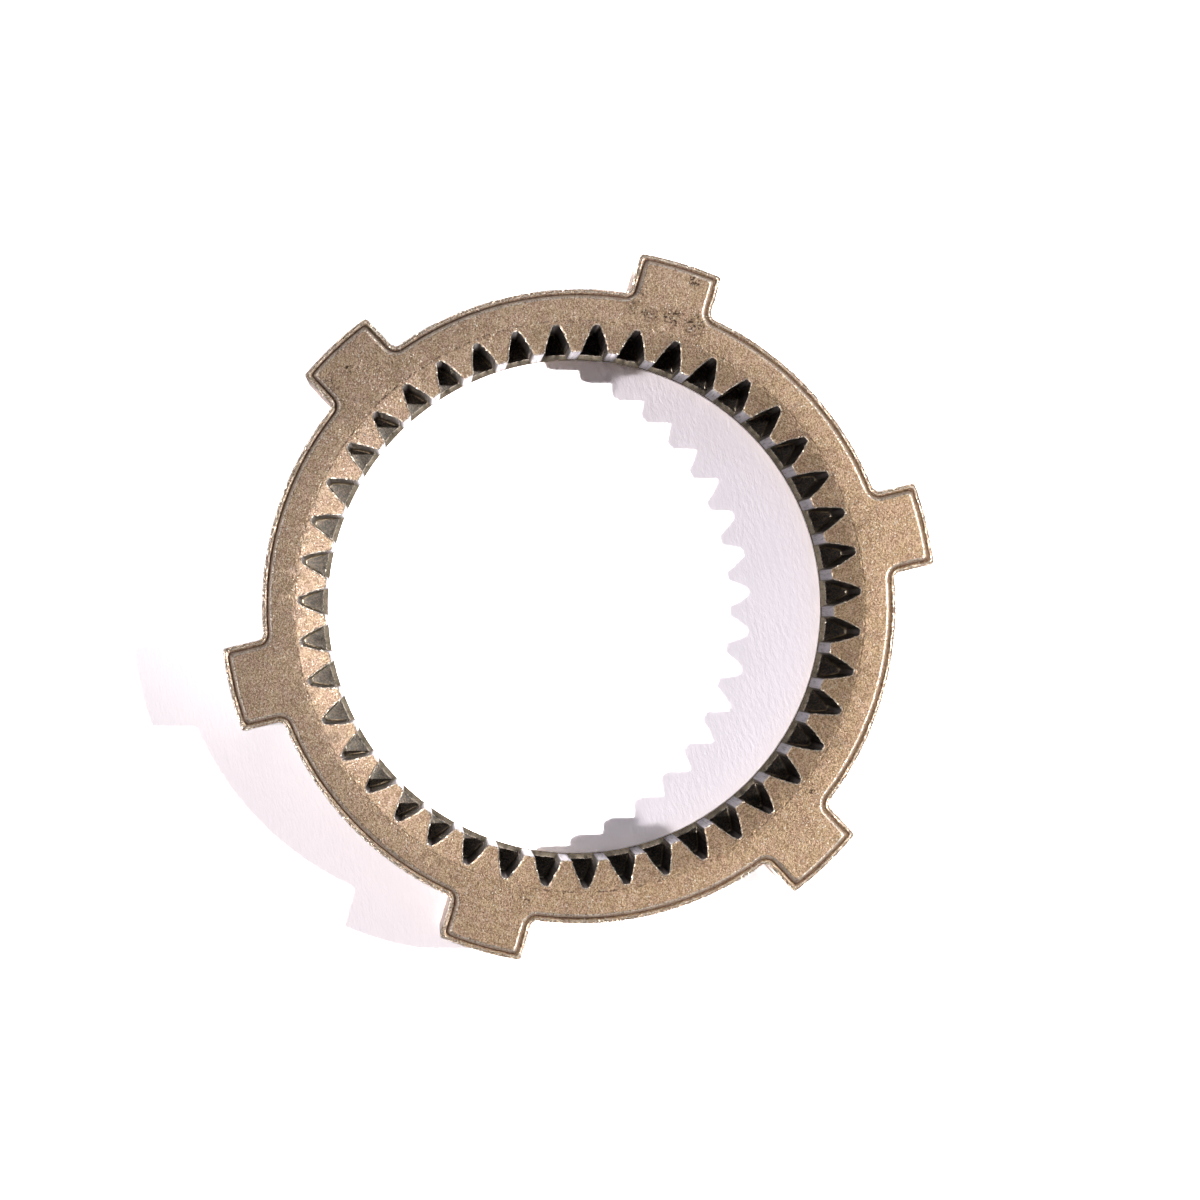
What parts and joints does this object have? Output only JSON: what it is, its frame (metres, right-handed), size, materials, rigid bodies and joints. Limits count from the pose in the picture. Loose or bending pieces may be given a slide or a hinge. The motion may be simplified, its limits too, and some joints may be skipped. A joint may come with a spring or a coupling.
{
  "type": "ring gear",
  "caption": "Internal-toothed planetary ring gear with a countersunk tooth end, a thin closing flange and outer lugs that key it into a housing.",
  "frame": {"origin": "on the gear axis, in the plane of the flat underside", "axes": "+Z along the gear axis from the flanged underside to the countersunk face; +X through the middle of one lug"},
  "size_m": [0.0588, 0.0538, 0.009],
  "materials": {
    "sintered_steel": "pressed and sintered, fine matt grain with bright worn edges"
  },
  "bodies": {
    "root": {"ring_gear": "sintered_steel"}
  },
  "joints": []
}
